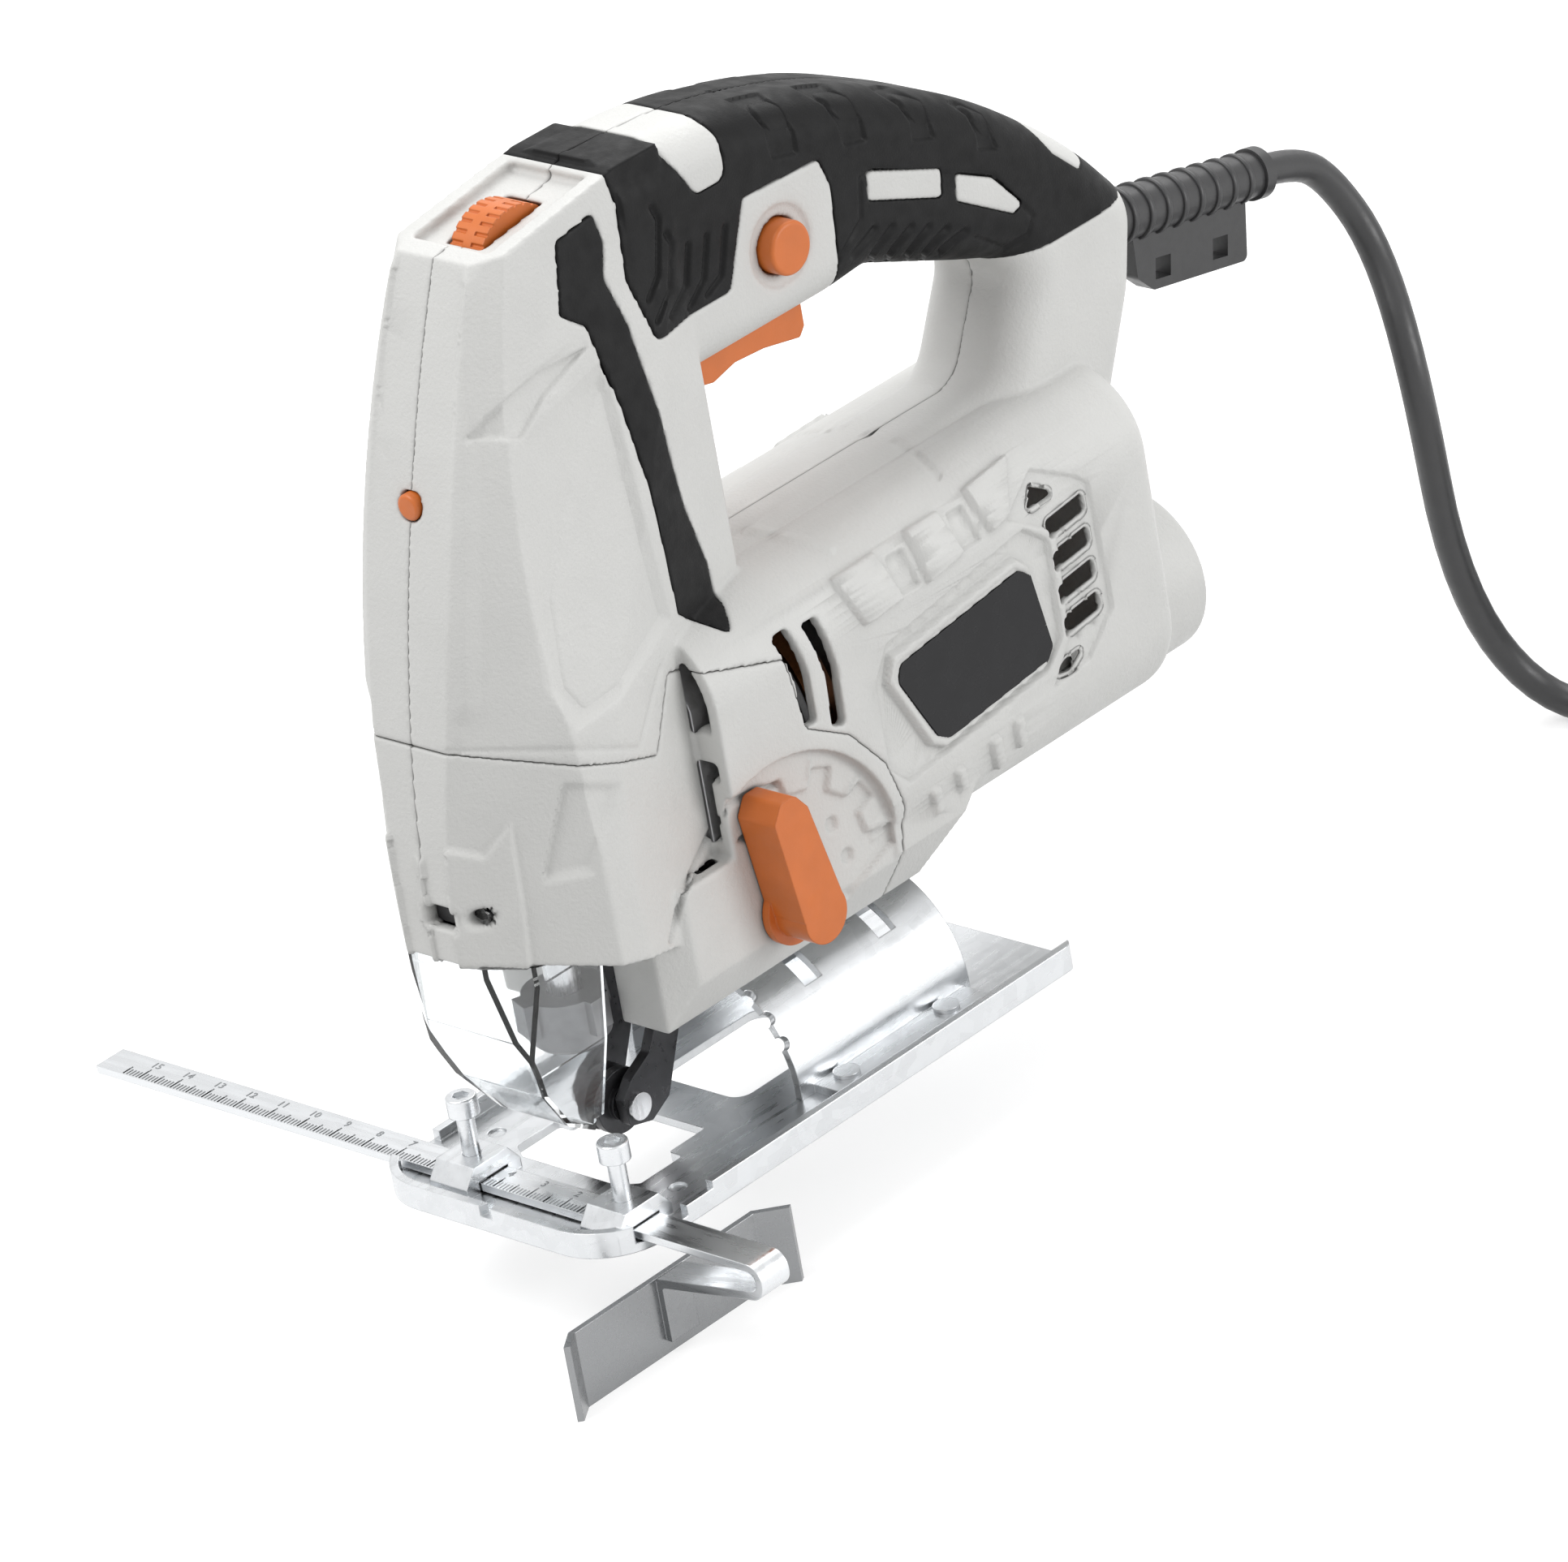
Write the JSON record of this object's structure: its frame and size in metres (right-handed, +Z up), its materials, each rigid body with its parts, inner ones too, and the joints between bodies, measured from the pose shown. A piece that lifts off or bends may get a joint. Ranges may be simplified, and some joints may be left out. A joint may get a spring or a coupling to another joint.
{
  "type": "jigsaw power tool",
  "caption": "Corded hand jigsaw with loop handle, tilting pressed shoe, roller-guided blade holder, orbital selector, speed dial, blade guard, dust port and sliding parallel guide.",
  "frame": {"origin": "the point where the saw blade's line crosses the shoe's bottom face, in the tool's middle plane", "axes": "+Y runs back from the nose to the dust port and cord, +Z up along the blade's stroke, +X to the tool's left side"},
  "size_m": [0.3135, 0.4584, 0.2431],
  "materials": {
    "shell": "light grey moulded housing plastic, fine spark texture",
    "cover": "light grey moulded gear cover, fine spark texture",
    "soft_grip": "soft black overmoulded rubber",
    "badge_plate": "bare black gloss plate",
    "zinc_steel": "zinc plated pressed steel",
    "core_steel": "stacked electrical steel",
    "copper_wire": "enamelled copper",
    "bright_steel": "ground steel",
    "black_steel": "black oxide steel",
    "brass": "sintered bronze and brass",
    "cast_alloy": "die cast alloy",
    "black_plastic": "black moulded plastic",
    "orange_plastic": "orange moulded plastic",
    "clear": "clear polycarbonate",
    "cord_rubber": "black cord sheath",
    "plated_pins": "nickel plated brass"
  },
  "bodies": {
    "housing": {"housing_left": "shell", "housing_right": "shell", "gear_cover_left": "cover", "gear_cover_right": "cover", "grip_left": "soft_grip", "grip_right": "soft_grip", "throat_strip_left": "soft_grip", "throat_strip_right": "soft_grip", "badge_left": "badge_plate", "badge_right": "badge_plate", "housing_screws": "zinc_steel", "field_core": "core_steel", "field_coils": "copper_wire", "front_bearing": "bright_steel", "tail_bearing": "bright_steel", "brush_holders": "brass", "carbon_brushes": "black_plastic", "gear_case": "cast_alloy", "gear_pin": "bright_steel", "lower_bush": "brass", "upper_bush": "brass", "fork_pin": "bright_steel", "fork_spring": "bright_steel", "speed_dial_board": "black_plastic", "switch_module": "black_plastic", "working_light": "black_plastic", "light_lens": "clear", "blade_guard": "clear", "clamp_plate": "zinc_steel", "bevel_screws": "zinc_steel", "strain_relief": "cord_rubber", "cord": "cord_rubber", "cord_coil": "cord_rubber", "cord_tail": "cord_rubber", "plug_body": "cord_rubber", "plug_pins": "plated_pins"},
    "armature": {"armature_shaft": "bright_steel", "armature_core": "core_steel", "armature_windings": "copper_wire", "commutator": "copper_wire", "cooling_fan": "black_plastic"},
    "drive_gear": {"drive_gear": "bright_steel"},
    "plunger": {"plunger": "bright_steel"},
    "blade_clamp": {"blade_clamp": "black_steel"},
    "roller_fork": {"roller_fork": "black_steel", "roller_pin": "bright_steel"},
    "guide_roller": {"guide_roller": "bright_steel"},
    "selector_lever": {"selector_lever": "orange_plastic"},
    "trigger": {"trigger": "orange_plastic"},
    "lock_button": {"lock_button": "orange_plastic"},
    "speed_wheel": {"speed_wheel": "orange_plastic"},
    "light_button": {"light_button": "orange_plastic"},
    "sole": {"shoe": "zinc_steel", "bevel_arch": "zinc_steel", "arch_rivets": "zinc_steel"},
    "parallel_guide": {"parallel_guide": "zinc_steel"},
    "guide_screw_inner": {"guide_screw_inner": "zinc_steel"},
    "guide_screw_outer": {"guide_screw_outer": "zinc_steel"}
  },
  "joints": [
    {"name": "motor_spin", "type": "hinge", "parent": "housing", "child": "armature", "pos_m": [0, 0.0865, 0.08], "axis": [0, 1, 0], "continuous": true},
    {"name": "gear_spin", "type": "hinge", "parent": "housing", "child": "drive_gear", "pos_m": [0, 0.0195, 0.105], "axis": [0, 1, 0], "continuous": true},
    {"name": "blade_stroke", "type": "slide", "parent": "housing", "child": "plunger", "axis": [0, 0, 1], "range_m": [-0.009, 0.009]},
    {"name": "clamp_turn", "type": "hinge", "parent": "plunger", "child": "blade_clamp", "pos_m": [0, 0, 0.037], "axis": [0, 0, 1], "range_deg": [-70, 0], "stiffness_Nm_per_rad": 0.02},
    {"name": "fork_swing", "type": "hinge", "parent": "housing", "child": "roller_fork", "pos_m": [0, 0.0215, 0.04], "axis": [1, 0, 0], "range_deg": [-5, 0], "stiffness_Nm_per_rad": 0.6},
    {"name": "roller_spin", "type": "hinge", "parent": "roller_fork", "child": "guide_roller", "pos_m": [0, 0.0075, 0.0122], "axis": [1, 0, 0], "continuous": true},
    {"name": "selector_turn", "type": "hinge", "parent": "housing", "child": "selector_lever", "pos_m": [0.035, 0.0415, 0.049], "axis": [1, 0, 0], "range_deg": [-84, 0]},
    {"name": "trigger_press", "type": "hinge", "parent": "housing", "child": "trigger", "pos_m": [0, 0.0575, 0.17], "axis": [1, 0, 0], "range_deg": [0, 6], "stiffness_Nm_per_rad": 3},
    {"name": "lock_press", "type": "slide", "parent": "housing", "child": "lock_button", "axis": [-1, 0, 0], "range_m": [0, 0.003], "stiffness_N_per_m": 600},
    {"name": "speed_turn", "type": "hinge", "parent": "housing", "child": "speed_wheel", "pos_m": [0, 0.0225, 0.2037], "axis": [1, 0, 0], "range_deg": [-140, 140]},
    {"name": "light_press", "type": "slide", "parent": "housing", "child": "light_button", "axis": [0, 1, 0], "range_m": [0, 0.0015], "stiffness_N_per_m": 500},
    {"name": "bevel_tilt", "type": "hinge", "parent": "housing", "child": "sole", "pos_m": [0, 0.0665, 0.004], "axis": [0, 1, 0], "range_deg": [-22, 5]},
    {"name": "guide_slide", "type": "slide", "parent": "sole", "child": "parallel_guide", "axis": [1, 0, 0], "range_m": [-0.02, 0.095]},
    {"name": "guide_screw_turn_inner", "type": "hinge", "parent": "sole", "child": "guide_screw_inner", "pos_m": [-0.0165, -0.0197, 0.015], "axis": [0, 0, 1], "range_deg": [-180, 180]},
    {"name": "guide_screw_turn_outer", "type": "hinge", "parent": "sole", "child": "guide_screw_outer", "pos_m": [0.0285, -0.0197, 0.015], "axis": [0, 0, 1], "range_deg": [-180, 180]}
  ],
  "couplings": [
    {"joint": "gear_spin", "follows": "motor_spin", "ratio": -0.25}
  ]
}
